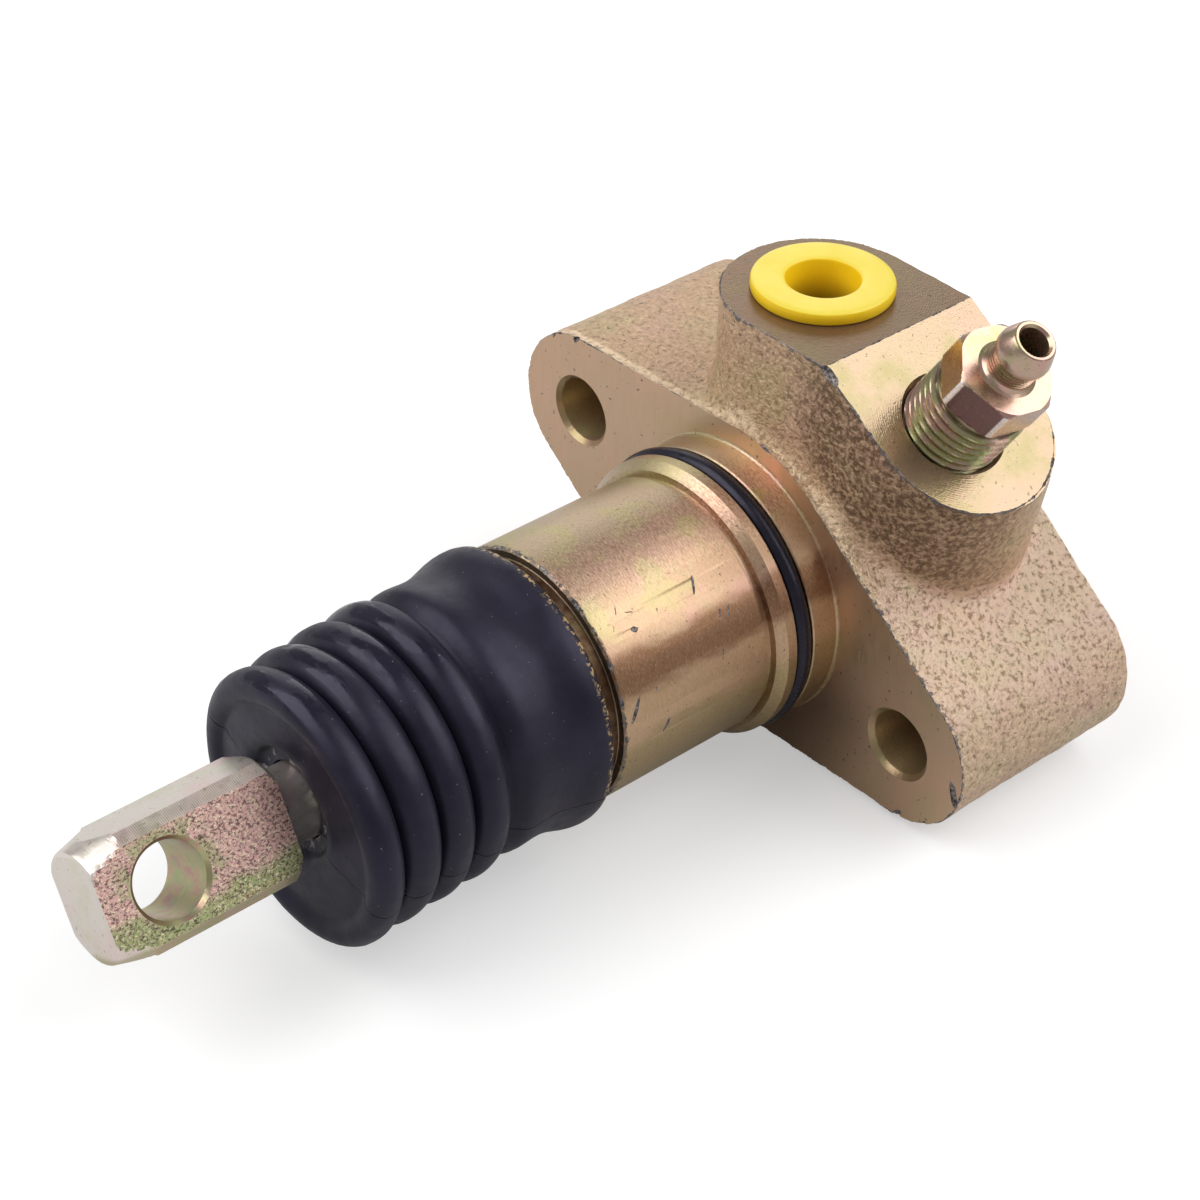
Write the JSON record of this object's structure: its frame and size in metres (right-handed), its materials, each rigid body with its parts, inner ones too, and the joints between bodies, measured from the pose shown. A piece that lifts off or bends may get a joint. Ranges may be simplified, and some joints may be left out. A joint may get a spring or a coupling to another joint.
{
  "type": "brake slave cylinder",
  "caption": "Flange-mounted hydraulic slave cylinder with a plugged port, a bleed screw, a rubber bellows boot and a push rod that ends in a flat eye.",
  "frame": {"origin": "where the bore's axis meets the machined mounting face of the flange", "axes": "+Z out of the fluid port, -Y along the bore towards the push rod, +X towards the bleed screw's side"},
  "size_m": [0.0636, 0.1, 0.0527],
  "materials": {
    "cast_zinc": "yellow zinc over rough casting and turned faces",
    "seal_rubber": "smooth",
    "plug_yellow": "moulded",
    "screw_zinc": "turned, iridescent zinc",
    "piston_alloy": "turned",
    "guide_plastic": "smooth",
    "spreader_plastic": "moulded",
    "spring_steel": "drawn wire",
    "rod_zinc": "iridescent yellow zinc",
    "clip_steel": "phosphated",
    "washer_zinc": "zinc",
    "boot_rubber": "satin moulded"
  },
  "bodies": {
    "casting": {"housing": "cast_zinc", "flange_o_ring": "seal_rubber", "snap_ring": "clip_steel", "stop_washer": "washer_zinc", "dust_boot": "boot_rubber", "return_spring": "spring_steel"},
    "piston": {"piston": "piston_alloy", "guide_ring": "guide_plastic", "piston_seal": "seal_rubber", "pressure_cup": "seal_rubber", "cup_spreader": "spreader_plastic", "rod_retainer": "clip_steel"},
    "rod": {"push_rod": "rod_zinc"},
    "bleeder": {"bleed_screw": "screw_zinc"},
    "plug": {"port_plug": "plug_yellow"}
  },
  "joints": [
    {"name": "piston_slide", "type": "slide", "parent": "casting", "child": "piston", "axis": [0, 1, 0], "range_m": [0, 0.009], "stiffness_N_per_m": 800, "springref_m": -0.012, "deforming": ["dust_boot", "return_spring"]},
    {"name": "rod_turn", "type": "hinge", "parent": "piston", "child": "rod", "pos_m": [0, -0.02505, 0], "axis": [0, -1, 0], "continuous": true},
    {"name": "bleed_turn", "type": "hinge", "parent": "casting", "child": "bleeder", "pos_m": [0.0174, 0.01015, 0.0221], "axis": [0.5417, 0, 0.8406], "range_deg": [0, 180]},
    {"name": "plug_pull", "type": "slide", "parent": "casting", "child": "plug", "axis": [0, 0, 1], "range_m": [0, 0.007]}
  ]
}
